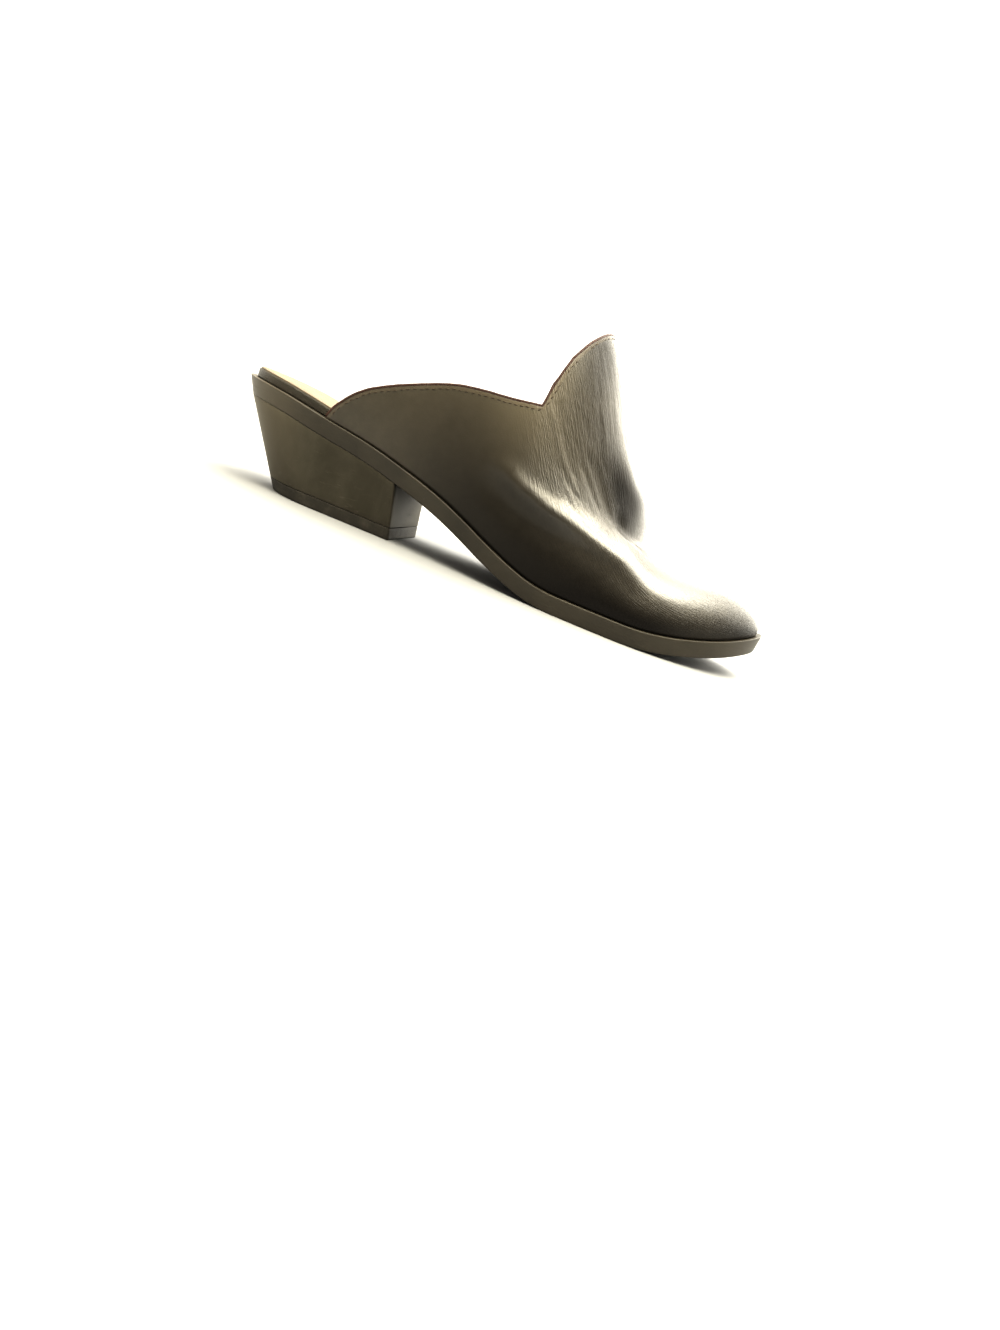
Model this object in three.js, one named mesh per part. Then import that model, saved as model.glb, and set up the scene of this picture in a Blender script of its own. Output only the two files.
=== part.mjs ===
// A right-foot mule: one-piece leather upper with a peaked tongue, insole, full-length outsole,
// slanted block heel and its top piece.
// Millimetres. +X runs from heel to toe, +Y to the inner (big toe) side and +Z up. The floor is z = 0.
import * as THREE from 'three';
import { mergeVertices } from 'three/addons/utils/BufferGeometryUtils.js';

// Driving sizes.
const LENGTH = 264;
const BALL_WIDTH = 87;
const HEEL_RISE = 38.2;
const INSTEP_HEIGHT = 120;
const SOLE_THICKNESS = 7.8;
const INSOLE_THICKNESS = 4.6;
const WALL = 2;
const GAP = 0.3;

// Outline of the sole seen from above.
const HEEL_ROUND = 29;
const HEEL_POINT = 2;
const TOE_ROUND = 66;
const TOE_POINT = 1.95;
const UNDER_INSET = 0.8;
const BACK_UNDERCUT = 3.4;
const UNDERCUT_REACH = 60;

// Upper.
const FEATHER_LEDGE = 2.5;
const TOE_DOME = 22;
const DOME_POINT = 2;
const WALL_SWELL = 1.3;
const WING_START = 47.5;
const NOTCH = 137;
const PEAK = 151;
const VAMP_FRONT = 186;
const WING_ROWS = 7;
const TONGUE_ROWS = 11;
const BISECTIONS = 40;

// Insole.
const BARE_INSET = 3;
const COVERED_INSET = FEATHER_LEDGE + WALL + 1.2;
const INSET_CHANGE = [26, 46];
const INSOLE_EDGE_ROUND = 1.8;

// Heel block and top piece.
const HEEL_FOOT_BACK = 27;
const HEEL_FOOT_BREAST = 93;
const HEEL_FOOT_HALF_WIDTH = 25;
const HEEL_FOOT_ROUND = 25;
const BREAST_TOP = 88.8;
const TOP_PIECE_THICKNESS = 5.4;

const MERGE_DISTANCE = 1e-4;

// Numbers of stations along each part and of columns across it.
const WING_STATIONS = 14;
const VAMP_STATIONS = 13;
const TOE_STATIONS = 12;
const DOME_STATIONS = 10;
const SOLE_HEEL_STATIONS = 12;
const SOLE_WAIST_STATIONS = 22;
const SOLE_TOE_STATIONS = 16;
const INSOLE_STATIONS = 44;
const INSOLE_CROWDING = 0.75;
const SLAB_COLUMNS = 4;
const HEEL_STATIONS = 22;
const HEEL_COLUMNS = 6;

// The last, a row for each section.
//   at        share of LENGTH from the back of the heel
//   lift      underside of the sole above the floor, share of HEEL_RISE
//   outer     half width of the sole on the little toe side, share of BALL_WIDTH
//   inner     half width of the sole on the big toe side, share of BALL_WIDTH
//   bend      how far the centre line curves to the big toe side, mm
//   crown     top of the section above the floor, share of INSTEP_HEIGHT
//   lean      how far the top stands to the big toe side of the centre line, mm
//   fullness  roundness of the section: 2 is an ellipse and more is boxier
const LAST = [
  { at: 0.000, lift: 1.000, outer: 0.337, inner: 0.328, bend: 0.0, crown: 1.250, lean: 0.0, fullness: 2.00 },
  { at: 0.090, lift: 0.955, outer: 0.339, inner: 0.328, bend: 0.0, crown: 1.250, lean: 0.0, fullness: 2.00 },
  { at: 0.180, lift: 0.851, outer: 0.341, inner: 0.334, bend: 0.0, crown: 1.250, lean: 0.0, fullness: 2.00 },
  { at: 0.270, lift: 0.757, outer: 0.345, inner: 0.334, bend: 0.0, crown: 1.250, lean: 0.3, fullness: 2.00 },
  { at: 0.340, lift: 0.645, outer: 0.351, inner: 0.332, bend: 0.0, crown: 1.240, lean: 0.8, fullness: 2.00 },
  { at: 0.410, lift: 0.512, outer: 0.366, inner: 0.334, bend: 0.0, crown: 1.220, lean: 1.4, fullness: 2.00 },
  { at: 0.470, lift: 0.362, outer: 0.397, inner: 0.348, bend: 0.0, crown: 1.180, lean: 2.0, fullness: 1.95 },
  { at: 0.520, lift: 0.225, outer: 0.435, inner: 0.374, bend: 0.0, crown: 1.120, lean: 2.4, fullness: 1.90 },
  { at: 0.570, lift: 0.105, outer: 0.472, inner: 0.406, bend: 0.0, crown: 1.004, lean: 2.8, fullness: 1.85 },
  { at: 0.610, lift: 0.030, outer: 0.496, inner: 0.434, bend: 0.0, crown: 0.883, lean: 3.0, fullness: 1.85 },
  { at: 0.650, lift: 0.000, outer: 0.514, inner: 0.460, bend: 0.0, crown: 0.735, lean: 3.0, fullness: 1.85 },
  { at: 0.720, lift: 0.000, outer: 0.523, inner: 0.477, bend: 0.2, crown: 0.500, lean: 2.8, fullness: 1.95 },
  { at: 0.785, lift: 0.000, outer: 0.523, inner: 0.477, bend: 0.7, crown: 0.324, lean: 2.0, fullness: 2.20 },
  { at: 0.840, lift: 0.035, outer: 0.517, inner: 0.471, bend: 1.4, crown: 0.304, lean: 1.2, fullness: 2.35 },
  { at: 0.885, lift: 0.100, outer: 0.511, inner: 0.466, bend: 2.2, crown: 0.303, lean: 0.5, fullness: 2.40 },
  { at: 0.930, lift: 0.185, outer: 0.506, inner: 0.460, bend: 3.1, crown: 0.302, lean: 0.0, fullness: 2.40 },
  { at: 0.970, lift: 0.285, outer: 0.500, inner: 0.454, bend: 3.9, crown: 0.300, lean: 0.0, fullness: 2.30 },
  { at: 1.000, lift: 0.370, outer: 0.500, inner: 0.454, bend: 4.5, crown: 0.300, lean: 0.0, fullness: 2.20 },
];

// The soft valley that runs up each side of the upper from the throat to the notch.
//   at     share of LENGTH
//   turn   where it lies on the section, share of the quarter turn from sole to top
//   depth  mm, square to the section
const VALLEY = [
  { at: 0.440, turn: 0.36, depth: 0.0 },
  { at: 0.520, turn: 0.37, depth: 0.6 },
  { at: 0.570, turn: 0.39, depth: 1.6 },
  { at: 0.625, turn: 0.43, depth: 3.2 },
  { at: 0.690, turn: 0.50, depth: 4.8 },
  { at: 0.720, turn: 0.58, depth: 4.8 },
  { at: 0.747, turn: 0.70, depth: 3.8 },
  { at: 0.770, turn: 0.84, depth: 2.0 },
  { at: 0.790, turn: 0.92, depth: 0.0 },
];
const VALLEY_WIDTH = 0.16;

// Top edge of the upper, from the tail of each wing to the notch, and from the notch to the peak.
//   at    share of LENGTH
//   rise  height above the floor, share of INSTEP_HEIGHT
const WING_EDGE = [
  { at: 0.180, rise: 0.335 },
  { at: 0.188, rise: 0.375 },
  { at: 0.202, rise: 0.419 },
  { at: 0.215, rise: 0.451 },
  { at: 0.237, rise: 0.490 },
  { at: 0.262, rise: 0.520 },
  { at: 0.314, rise: 0.571 },
  { at: 0.382, rise: 0.622 },
  { at: 0.425, rise: 0.636 },
  { at: 0.466, rise: 0.644 },
  { at: 0.519, rise: 0.662 },
];
const TONGUE_EDGE = [
  { at: 0.519, rise: 0.662 },
  { at: 0.524, rise: 0.748 },
  { at: 0.532, rise: 0.832 },
  { at: 0.543, rise: 0.899 },
  { at: 0.555, rise: 0.950 },
  { at: 0.565, rise: 0.984 },
  { at: 0.572, rise: 1.000 },
];

// Smooth curve through one column of a table, with no overshoot between rows.
function curve(rows, column) {
  const at = rows.map((row) => row.at);
  const value = rows.map((row) => row[column]);
  const step = at.slice(1).map((end, i) => end - at[i]);
  const rise = step.map((width, i) => (value[i + 1] - value[i]) / width);
  const slope = value.map((_, i) => {
    if (i === 0) return rise[0];
    if (i === step.length) return rise[i - 1];
    if (rise[i - 1] * rise[i] <= 0) return 0;
    const before = 2 * step[i] + step[i - 1];
    const after = step[i] + 2 * step[i - 1];
    return (before + after) / (before / rise[i - 1] + after / rise[i]);
  });
  return (where) => {
    const next = at.findIndex((end) => end >= where);
    const i = next < 0 ? step.length - 1 : Math.max(next - 1, 0);
    const t = THREE.MathUtils.clamp((where - at[i]) / step[i], 0, 1);
    const start = (1 + 2 * t) * (1 - t) ** 2 * value[i] + t * (1 - t) ** 2 * slope[i] * step[i];
    const end = t * t * (3 - 2 * t) * value[i + 1] + t * t * (t - 1) * slope[i + 1] * step[i];
    return start + end;
  };
}

const lift = curve(LAST, 'lift');
const outer = curve(LAST, 'outer');
const inner = curve(LAST, 'inner');
const bend = curve(LAST, 'bend');
const crown = curve(LAST, 'crown');
const lean = curve(LAST, 'lean');
const fullness = curve(LAST, 'fullness');
const valleyTurn = curve(VALLEY, 'turn');
const valleyDepth = curve(VALLEY, 'depth');
const wingEdge = curve(WING_EDGE, 'rise');
const tongueEdge = curve(TONGUE_EDGE, 'rise');

// Share of the full size left at a rounded end, where u goes from 0 at its root to 1 at its tip.
function roundEnd(u, power) {
  const inside = THREE.MathUtils.clamp(u, 0, 1);
  return (1 - inside ** power) ** (1 / power);
}

const underside = (x) => HEEL_RISE * lift(x / LENGTH);
const seat = (x) => underside(x) + SOLE_THICKNESS;

// Where the outline lies, for side -1 (little toe) or +1 (big toe), drawn in by inset.
function outline(x, side, inset) {
  const halfWidth = BALL_WIDTH * (side < 0 ? outer : inner)(x / LENGTH) - inset;
  const heel = roundEnd((HEEL_ROUND - x) / (HEEL_ROUND - inset), HEEL_POINT);
  const toe = roundEnd((x - LENGTH + TOE_ROUND) / (TOE_ROUND - inset), TOE_POINT);
  return bend(x / LENGTH) + side * halfWidth * heel * toe;
}

// Point across the sole: v goes from -1 at the outer edge to +1 at the inner edge.
function across(x, v, inset) {
  const outerEdge = outline(x, -1, inset);
  const innerEdge = outline(x, 1, inset);
  return THREE.MathUtils.lerp(outerEdge, innerEdge, (v + 1) / 2);
}

// The upper's outer face: theta goes from 0 at the sole to a quarter turn at the top.
function lastPoint(x, side, theta) {
  const power = 2 / fullness(x / LENGTH);
  const foot = outline(x, side, FEATHER_LEDGE);
  const top = bend(x / LENGTH) + lean(x / LENGTH);
  const dome = roundEnd((x - LENGTH + FEATHER_LEDGE + TOE_DOME) / TOE_DOME, DOME_POINT);
  const floor = seat(x) + GAP;
  const height = (INSTEP_HEIGHT * crown(x / LENGTH) - floor) * dome;
  const swell = WALL_SWELL * dome * Math.sin(2 * theta) * Math.cos(theta);
  const share = theta / (Math.PI / 2);
  const valley = valleyDepth(x / LENGTH) * Math.exp(-(((share - valleyTurn(x / LENGTH)) / VALLEY_WIDTH) ** 2));
  return [
    x,
    top + (foot - top) * Math.cos(theta) ** power + side * (swell - valley * Math.cos(theta)),
    floor + height * Math.sin(theta) ** power - valley * Math.sin(theta),
  ];
}

// The angle at which the top edge crosses a section.
function edgeAngle(x) {
  if (x >= PEAK) return Math.PI / 2;
  const rise = x < NOTCH ? wingEdge(x / LENGTH) : tongueEdge(x / LENGTH);
  const floor = seat(x) + GAP;
  const share = (INSTEP_HEIGHT * rise - floor) / (INSTEP_HEIGHT * crown(x / LENGTH) - floor);
  return Math.asin(THREE.MathUtils.clamp(share, 0, 1) ** (fullness(x / LENGTH) / 2));
}

// Values from start to end. With crowd at 1 they bunch at both ends, and at 0 they are even.
function spread(start, end, count, crowd = 0) {
  return Array.from({ length: count + 1 }, (_, i) => {
    const even = i / count;
    const bunched = (1 - Math.cos(Math.PI * even)) / 2;
    return THREE.MathUtils.lerp(start, end, THREE.MathUtils.lerp(even, bunched, crowd));
  });
}

// Values from start to end that bunch at the end only.
function easeInto(start, end, count) {
  return spread(0, 1, count).map((share) => THREE.MathUtils.lerp(start, end, Math.sin(share * Math.PI / 2)));
}

// Two triangles for each cell of a grid of points.
function gridTriangles(grid) {
  const triangles = [];
  for (let i = 0; i + 1 < grid.length; i += 1) {
    for (let j = 0; j + 1 < grid[i].length; j += 1) {
      const [a, b, c, d] = [grid[i][j], grid[i + 1][j], grid[i + 1][j + 1], grid[i][j + 1]];
      triangles.push([a, b, c], [a, c, d]);
    }
  }
  return triangles;
}

const flip = (triangles) => triangles.map(([a, b, c]) => [a, c, b]);

// Indexed geometry with shared corners, without the triangles that a rounded end squeezes flat.
function join(triangles) {
  const loose = new THREE.BufferGeometry();
  loose.setAttribute('position', new THREE.Float32BufferAttribute(triangles.flat(2), 3));
  const joined = mergeVertices(loose, MERGE_DISTANCE);
  const corners = joined.index.array;
  const kept = [];
  for (let i = 0; i < corners.length; i += 3) {
    const [a, b, c] = corners.slice(i, i + 3);
    if (a !== b && b !== c && c !== a) kept.push(a, b, c);
  }
  joined.setIndex(kept);
  joined.computeVertexNormals();
  return joined;
}

// Closed body between a top and a bottom sheet over the same rows of u and v.
function slab(top, bottom, uValues, vValues) {
  const topGrid = uValues.map((u) => vValues.map((v) => top(u, v)));
  const bottomGrid = uValues.map((u) => vValues.map((v) => bottom(u, v)));
  const last = vValues.length - 1;
  const edgeWall = (grid, j) => grid.map((row) => row[j]);
  const outerWall = gridTriangles([edgeWall(bottomGrid, 0), edgeWall(topGrid, 0)]);
  const innerWall = gridTriangles([edgeWall(topGrid, last), edgeWall(bottomGrid, last)]);
  const backWall = gridTriangles([topGrid[0], bottomGrid[0]]);
  const frontWall = gridTriangles([bottomGrid.at(-1), topGrid.at(-1)]);
  const sheets = [...gridTriangles(topGrid), ...flip(gridTriangles(bottomGrid))];
  return join([...sheets, ...flip(outerWall), ...flip(innerWall), ...flip(backWall), ...flip(frontWall)]);
}

// Gives an open surface a wall on its inner side, with a rim along each free edge.
function thicken(surface, wall, settle) {
  const position = surface.attributes.position;
  const normal = surface.attributes.normal;
  const outside = [];
  const inside = [];
  for (let i = 0; i < position.count; i += 1) {
    const point = new THREE.Vector3().fromBufferAttribute(position, i);
    const depth = new THREE.Vector3().fromBufferAttribute(normal, i).multiplyScalar(-wall);
    outside.push(point.toArray());
    inside.push(settle(point.clone().add(depth)).toArray());
  }
  const triangles = [];
  const edges = new Map();
  const corners = surface.index.array;
  for (let i = 0; i < corners.length; i += 3) {
    const face = [...corners.slice(i, i + 3)];
    triangles.push(face.map((corner) => outside[corner]));
    triangles.push(face.map((corner) => inside[corner]).reverse());
    face.forEach((corner, k) => edges.set(`${corner},${face[(k + 1) % 3]}`, [corner, face[(k + 1) % 3]]));
  }
  for (const [a, b] of edges.values()) {
    if (edges.has(`${b},${a}`)) continue;
    triangles.push([outside[b], outside[a], inside[a]], [outside[b], inside[a], inside[b]]);
  }
  return join(triangles);
}

// Where the top edge of the tongue crosses the row at this angle. Below the notch it is the notch itself.
function tongueStation(theta) {
  let [behind, ahead] = [NOTCH, PEAK];
  for (let i = 0; i < BISECTIONS; i += 1) {
    const middle = (behind + ahead) / 2;
    if (edgeAngle(middle) < theta) behind = middle;
    else ahead = middle;
  }
  return theta > edgeAngle(NOTCH) ? ahead : NOTCH;
}

// Upper: on each side the wing, up to the notch, and the vamp with half the tongue. The halves share the ridge.
function makeUpper() {
  const toeTip = LENGTH - FEATHER_LEDGE;
  const notchAngle = edgeAngle(NOTCH);
  const wingStations = easeInto(NOTCH, WING_START, WING_STATIONS).reverse();
  const vampAngles = [
    ...spread(0, notchAngle, WING_ROWS),
    ...spread(notchAngle, Math.PI / 2, TONGUE_ROWS).slice(1),
  ];
  const vampShares = spread(0, 1, VAMP_STATIONS).slice(0, -1);
  const toeStations = [
    ...spread(VAMP_FRONT, toeTip - TOE_DOME, TOE_STATIONS).slice(0, -1),
    ...easeInto(toeTip - TOE_DOME, toeTip, DOME_STATIONS),
  ];
  const wing = (side) => wingStations.map((x) => {
    const angles = spread(0, edgeAngle(x), WING_ROWS);
    return angles.map((theta) => lastPoint(x, side, theta));
  });
  const vamp = (side) => [
    ...vampShares.map((share) => vampAngles.map((theta) => {
      const x = THREE.MathUtils.lerp(tongueStation(theta), VAMP_FRONT, share);
      return lastPoint(x, side, theta);
    })),
    ...toeStations.map((x) => vampAngles.map((theta) => lastPoint(x, side, theta))),
  ];
  const half = (side) => [...gridTriangles(wing(side)), ...gridTriangles(vamp(side))];
  const surface = join([...half(-1), ...flip(half(1))]);
  return thicken(surface, WALL, (point) => {
    point.z = Math.max(point.z, seat(point.x) + GAP);
    return point;
  });
}

// Outsole: full length, with the heel seat, arch, flat tread and toe spring in one slab.
function makeOutsole() {
  const stations = [
    ...spread(0, 0.5, SOLE_HEEL_STATIONS).map((share) => 2 * HEEL_ROUND * (1 - Math.cos(share * Math.PI))),
    ...spread(2 * HEEL_ROUND, LENGTH - TOE_ROUND, SOLE_WAIST_STATIONS).slice(1),
    ...easeInto(LENGTH - TOE_ROUND, LENGTH, SOLE_TOE_STATIONS).slice(1),
  ];
  const top = (x, v) => [x, across(x, v, 0), seat(x)];
  return slab(top, outsoleUnder, stations, spread(-1, 1, SLAB_COLUMNS));
}

function outsoleUnder(x, v) {
  const shift = BACK_UNDERCUT * Math.max(0, 1 - x / UNDERCUT_REACH) ** 2;
  return [x + shift, across(x, v, UNDER_INSET), underside(x + shift)];
}

// Insole: lies on the outsole, inside the upper's wall, and shows bare at the heel.
function makeInsole() {
  const inset = (x) => {
    const share = THREE.MathUtils.smoothstep(x, ...INSET_CHANGE);
    return THREE.MathUtils.lerp(BARE_INSET, COVERED_INSET, share);
  };
  const length = LENGTH - BARE_INSET - COVERED_INSET;
  const place = (u) => BARE_INSET + length * u;
  const bottom = (u, v) => [place(u), across(place(u), v, inset(place(u))), seat(place(u)) + GAP];
  const top = (u, v) => {
    const [x, y, z] = bottom(u, v);
    const middle = across(x, 0, 0);
    const halfWidth = Math.abs(across(x, 1, inset(x)) - across(x, -1, inset(x))) / 2;
    const share = Math.max(0, halfWidth - INSOLE_EDGE_ROUND) / Math.max(halfWidth, INSOLE_EDGE_ROUND);
    return [x, middle + (y - middle) * share, z + INSOLE_THICKNESS];
  };
  return slab(top, bottom, spread(0, 1, INSOLE_STATIONS, INSOLE_CROWDING), spread(-1, 1, SLAB_COLUMNS));
}

// A point of the heel at height share f: 0 against the outsole and 1 on the floor.
function heelPoint(u, v, f) {
  const [topX, topY, topZ] = outsoleUnder(u * BREAST_TOP, v);
  const footX = THREE.MathUtils.lerp(HEEL_FOOT_BACK, HEEL_FOOT_BREAST, u);
  const footRound = roundEnd((HEEL_FOOT_BACK + HEEL_FOOT_ROUND - footX) / HEEL_FOOT_ROUND, HEEL_POINT);
  const footY = v * HEEL_FOOT_HALF_WIDTH * footRound;
  return [
    THREE.MathUtils.lerp(topX, footX, f),
    THREE.MathUtils.lerp(topY, footY, f),
    THREE.MathUtils.lerp(topZ, 0, f),
  ];
}

// The heel point at a given height above the floor.
function heelAt(u, v, z) {
  const top = outsoleUnder(u * BREAST_TOP, v)[2];
  return heelPoint(u, v, 1 - z / top);
}

const heelRows = () => spread(0, 1, HEEL_STATIONS).map((share) => 1 - Math.cos(share * Math.PI / 2));

function makeHeel() {
  const top = (u, v) => heelAt(u, v, outsoleUnder(u * BREAST_TOP, v)[2] - GAP);
  const bottom = (u, v) => heelAt(u, v, TOP_PIECE_THICKNESS + GAP);
  return slab(top, bottom, heelRows(), spread(-1, 1, HEEL_COLUMNS));
}

function makeTopPiece() {
  const top = (u, v) => heelAt(u, v, TOP_PIECE_THICKNESS);
  const bottom = (u, v) => heelAt(u, v, 0);
  return slab(top, bottom, heelRows(), spread(-1, 1, SLAB_COLUMNS));
}

function piece(name, geometry, color, roughness) {
  const mesh = new THREE.Mesh(geometry, new THREE.MeshStandardMaterial({ color, roughness, metalness: 0 }));
  mesh.name = name;
  return mesh;
}

const shoe = new THREE.Group();
shoe.add(piece('outsole', makeOutsole(), 0x2a2824, 0.6));
shoe.add(piece('heel', makeHeel(), 0x1e1c1a, 0.4));
shoe.add(piece('top_piece', makeTopPiece(), 0x171615, 0.7));
shoe.add(piece('upper', makeUpper(), 0x2c2823, 0.42));
shoe.add(piece('insole', makeInsole(), 0xcdbb9f, 0.6));

// The origin is the middle of the shoe's length and width, on the floor.
const box = new THREE.Box3().setFromObject(shoe);
const middle = box.getCenter(new THREE.Vector3());
shoe.position.set(-middle.x, -middle.y, -box.min.z);

export default shoe;
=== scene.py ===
"""Looks of a right-foot leather mule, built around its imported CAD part.

Shapes are worked out in the shoe's own frame, in millimetres: x = 0 at the back of the sole, y = 0 on
the centre line with +y to the inner (big toe) side, and z = 0 on the floor. to_frame() puts them in the
CAD frame, in metres. A place on the upper is given as (x, side, turn): side is -1 on the outer and +1 on
the inner half, and turn goes from 0 at the sole to 1 at the top of the section.
"""
import math

import bpy
import numpy as np
from mathutils import Matrix, Vector
from mathutils.bvhtree import BVHTree


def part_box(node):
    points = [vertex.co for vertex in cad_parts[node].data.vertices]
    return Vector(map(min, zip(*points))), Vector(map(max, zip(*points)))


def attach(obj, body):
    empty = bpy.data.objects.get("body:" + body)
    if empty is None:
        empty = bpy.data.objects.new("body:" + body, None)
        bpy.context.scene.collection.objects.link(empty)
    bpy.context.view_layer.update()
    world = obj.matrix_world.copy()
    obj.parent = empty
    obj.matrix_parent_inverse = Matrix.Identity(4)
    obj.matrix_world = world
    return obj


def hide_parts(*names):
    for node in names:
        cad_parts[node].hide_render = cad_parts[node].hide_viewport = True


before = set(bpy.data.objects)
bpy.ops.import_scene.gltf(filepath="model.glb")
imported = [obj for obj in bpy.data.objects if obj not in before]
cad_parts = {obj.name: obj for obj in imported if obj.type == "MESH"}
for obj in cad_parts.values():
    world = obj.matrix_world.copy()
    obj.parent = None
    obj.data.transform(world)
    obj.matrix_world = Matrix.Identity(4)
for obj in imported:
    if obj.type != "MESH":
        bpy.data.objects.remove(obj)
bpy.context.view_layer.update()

# Driving sizes, as in the CAD part.
LENGTH = 264.0
BALL_WIDTH = 87.0
HEEL_RISE = 38.2
INSTEP_HEIGHT = 120.0
SOLE_THICKNESS = 7.8
INSOLE_THICKNESS = 4.6
GAP = 0.3
HEEL_ROUND, HEEL_POINT = 29.0, 2.0
TOE_ROUND, TOE_POINT = 66.0, 1.95
UNDER_INSET = 0.8
BACK_UNDERCUT, UNDERCUT_REACH = 3.4, 60.0
FEATHER_LEDGE = 2.5
TOE_DOME, DOME_POINT = 22.0, 2.0
WALL_SWELL = 1.3
WING_START, NOTCH, PEAK, VAMP_FRONT = 47.5, 137.0, 151.0, 186.0
BARE_INSET, COVERED_INSET = 3.0, 5.7
INSET_CHANGE = (26.0, 46.0)
HEEL_FOOT_BACK, HEEL_FOOT_BREAST = 27.0, 93.0
HEEL_FOOT_HALF_WIDTH, HEEL_FOOT_ROUND = 25.0, 25.0
BREAST_TOP = 88.8
TOP_PIECE_THICKNESS = 5.4

# Sizes of what only this script makes, in mm.
CURVE_BLUR, CURVE_SPACING = 3.0, 0.25
LEATHER_WALL = 1.1
LINING_DEPTH, LINING_WALL, LINING_DROP = 1.35, 0.55, 1.5
LEATHER_FLOOR, LINING_FLOOR = 0.05, 0.4
FOOT_CURL, FOOT_CURL_HEIGHT = 0.10, 1.0
EDGE_ROLL, EDGE_ROLL_WIDTH = 0.45, 1.1
CALM_MARGIN, CALM_WIDTH = 1.5, 4.0
BINDING_RADIUS, BINDING_DEPTH, BINDING_STEP, BINDING_CLEARANCE = 0.62, 0.55, 0.7, 0.1
STITCH_OFFSET, STITCH_PITCH, STITCH_LENGTH, THREAD_RADIUS = 2.3, 2.5, 1.8, 0.20
SOCK_THICKNESS, SOCK_INSET, SOCK_GAP = 0.8, 0.7, 0.02
HEEL_CORNER, HEEL_TOP_GAP, HEEL_FOOT_GAP, HEEL_EDGE_SCALE = 1.6, 0.02, 0.15, 30.0
WELD_DISTANCE = 1e-3
# Radii of the upper and lower edges.
SOLE_EDGES, BOARD_EDGES, SOCK_EDGES = (0.45, 0.5), (0.6, 0.3), (0.35, 0.1)
HEEL_EDGES, TOP_PIECE_EDGES = (0.2, 0.35), (0.3, 0.6)
# Shares: the wall lost at the top edge, how far the tongue's edge moves forward as it drops, and where
# between two steps of WELD_DISTANCE points are told apart.
EDGE_THINNING, EDGE_DROP_FORWARD, WELD_PHASE = 0.65, 0.8, 0.37

# Rows and stations of the upper's sheet, and how much they crowd towards the top edge.
LOW_ROWS, HIGH_ROWS, WING_STATIONS, VAMP_STATIONS, TOE_STATIONS, DOME_STATIONS = 62, 56, 48, 100, 44, 24
EDGE_CROWDING = 1.45

RNG = np.random.default_rng(11)


def table(columns, rows):
    """Rows of numbers as a dictionary of named columns."""
    return dict(zip(columns.split(), np.array(rows, float).T))


# The last, a row for each section. at is the share of LENGTH, lift and crown are shares of HEEL_RISE and
# INSTEP_HEIGHT, outer and inner shares of BALL_WIDTH, bend and lean millimetres towards the big toe.
LAST = table("at lift outer inner bend crown lean fullness", [
    (0.000, 1.000, 0.337, 0.328, 0.0, 1.250, 0.0, 2.00),
    (0.090, 0.955, 0.339, 0.328, 0.0, 1.250, 0.0, 2.00),
    (0.180, 0.851, 0.341, 0.334, 0.0, 1.250, 0.0, 2.00),
    (0.270, 0.757, 0.345, 0.334, 0.0, 1.250, 0.3, 2.00),
    (0.340, 0.645, 0.351, 0.332, 0.0, 1.240, 0.8, 2.00),
    (0.410, 0.512, 0.366, 0.334, 0.0, 1.220, 1.4, 2.00),
    (0.470, 0.362, 0.397, 0.348, 0.0, 1.180, 2.0, 1.95),
    (0.520, 0.225, 0.435, 0.374, 0.0, 1.120, 2.4, 1.90),
    (0.570, 0.105, 0.472, 0.406, 0.0, 1.004, 2.8, 1.85),
    (0.610, 0.030, 0.496, 0.434, 0.0, 0.883, 3.0, 1.85),
    (0.650, 0.000, 0.514, 0.460, 0.0, 0.735, 3.0, 1.85),
    (0.720, 0.000, 0.523, 0.477, 0.2, 0.500, 2.8, 1.95),
    (0.785, 0.000, 0.523, 0.477, 0.7, 0.324, 2.0, 2.20),
    (0.840, 0.035, 0.517, 0.471, 1.4, 0.304, 1.2, 2.35),
    (0.885, 0.100, 0.511, 0.466, 2.2, 0.303, 0.5, 2.40),
    (0.930, 0.185, 0.506, 0.460, 3.1, 0.302, 0.0, 2.40),
    (0.970, 0.285, 0.500, 0.454, 3.9, 0.300, 0.0, 2.30),
    (1.000, 0.370, 0.500, 0.454, 4.5, 0.300, 0.0, 2.20),
])

# The soft valley up each side of the upper, from the throat to the notch.
VALLEY = table("at turn depth", [
    (0.440, 0.36, 0.0),
    (0.520, 0.37, 0.6),
    (0.570, 0.39, 1.6),
    (0.625, 0.43, 3.2),
    (0.690, 0.50, 4.8),
    (0.720, 0.58, 4.8),
    (0.747, 0.70, 3.8),
    (0.770, 0.84, 2.0),
    (0.790, 0.92, 0.0),
])
VALLEY_WIDTH = 0.16

# Top edge of the upper: wing tail to notch, and notch to peak. rise is a share of INSTEP_HEIGHT.
WING_EDGE = table("at rise", [
    (0.180, 0.335), (0.188, 0.375), (0.202, 0.419), (0.215, 0.451), (0.237, 0.490), (0.262, 0.520),
    (0.314, 0.571), (0.382, 0.622), (0.425, 0.636), (0.466, 0.644), (0.519, 0.662),
])
TONGUE_EDGE = table("at rise", [
    (0.519, 0.662), (0.524, 0.748), (0.532, 0.832), (0.543, 0.899), (0.555, 0.950), (0.565, 0.984),
    (0.572, 1.000),
])

# Creases of the upper, each a soft trough (depth below 0) or ridge (above 0) along a route of (x, turn).
# sides is -1 outer, +1 inner or both. width is the distance at which the crease has faded to a third, and
# fade is how far it takes to reach full depth from its start and to its end, all in mm.
OUTER, INNER, BOTH = (-1,), (1,), (-1, 1)


def crease(sides, width, depth, fade, *route):
    return dict(sides=sides, width=width, depth=depth, fade=fade, route=np.array(route, float))


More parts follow.
